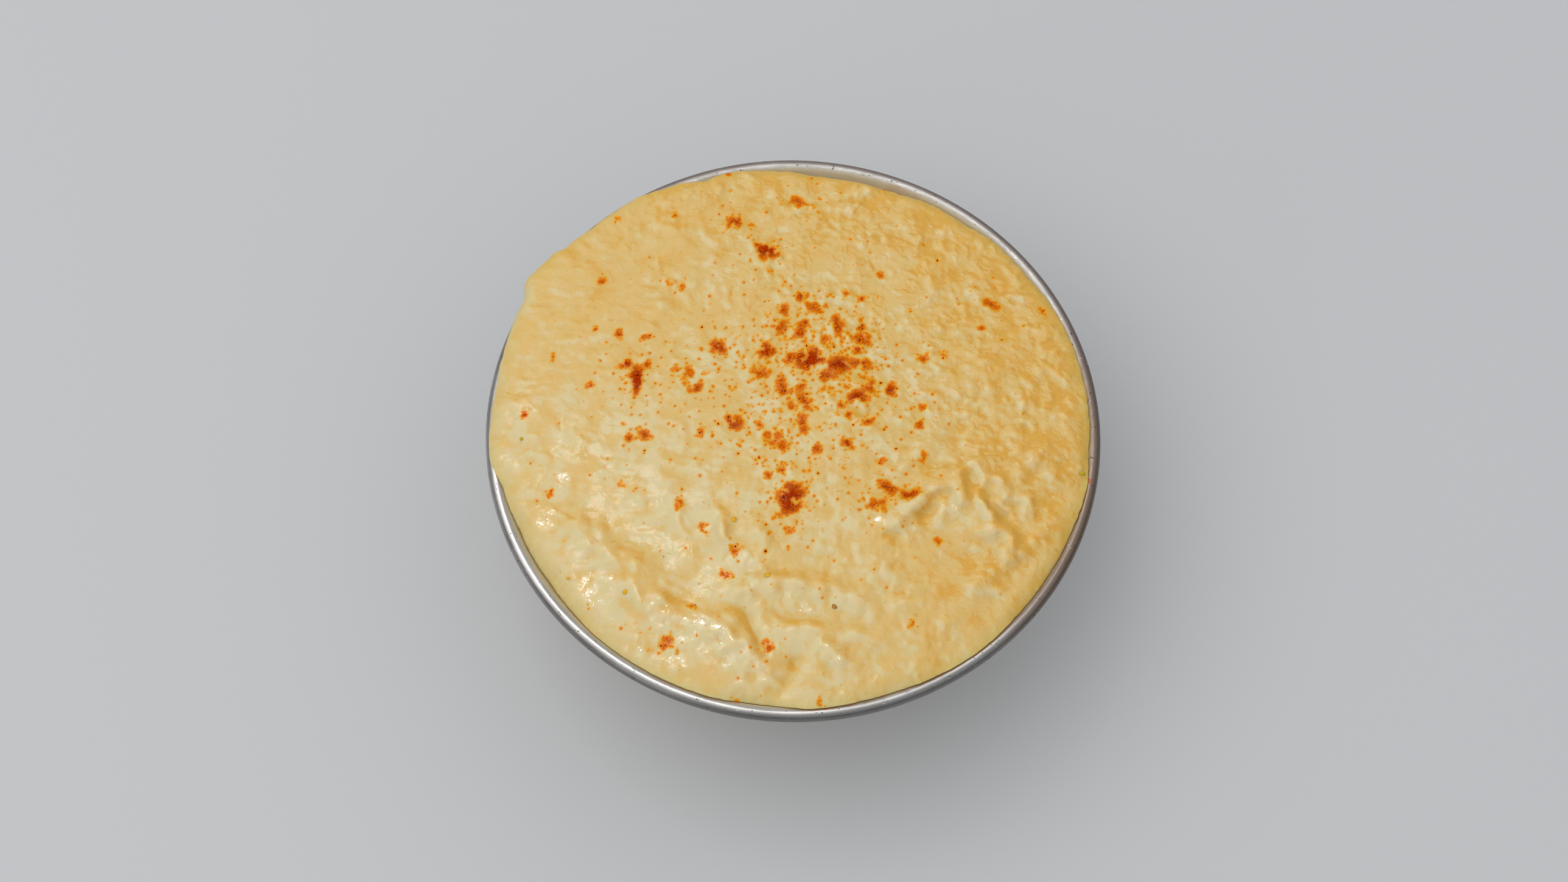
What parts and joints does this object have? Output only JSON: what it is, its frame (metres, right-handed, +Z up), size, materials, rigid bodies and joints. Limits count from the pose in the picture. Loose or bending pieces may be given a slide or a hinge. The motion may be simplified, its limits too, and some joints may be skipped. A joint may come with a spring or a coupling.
{
  "type": "bowl of hummus",
  "caption": "Flared steel dip bowl with a rolled lip, filled over its brim with spoon-smeared hummus that spills over one side and is dusted with paprika.",
  "frame": {"origin": "centre of the bowl's flat base, on the surface it stands on", "axes": "+Z up through the middle of the bowl, +Y away from the front, where the steel lip shows whole, and +X to the right of someone who looks along +Y; the dip spills over the lip between +Y and -X"},
  "size_m": [0.12, 0.12, 0.052],
  "materials": {
    "steel": "dull stainless steel with fine hairline scratches and a few nicks on the lip",
    "hummus": null
  },
  "bodies": {
    "root": {"bowl": "steel", "hummus": "hummus"}
  },
  "joints": []
}
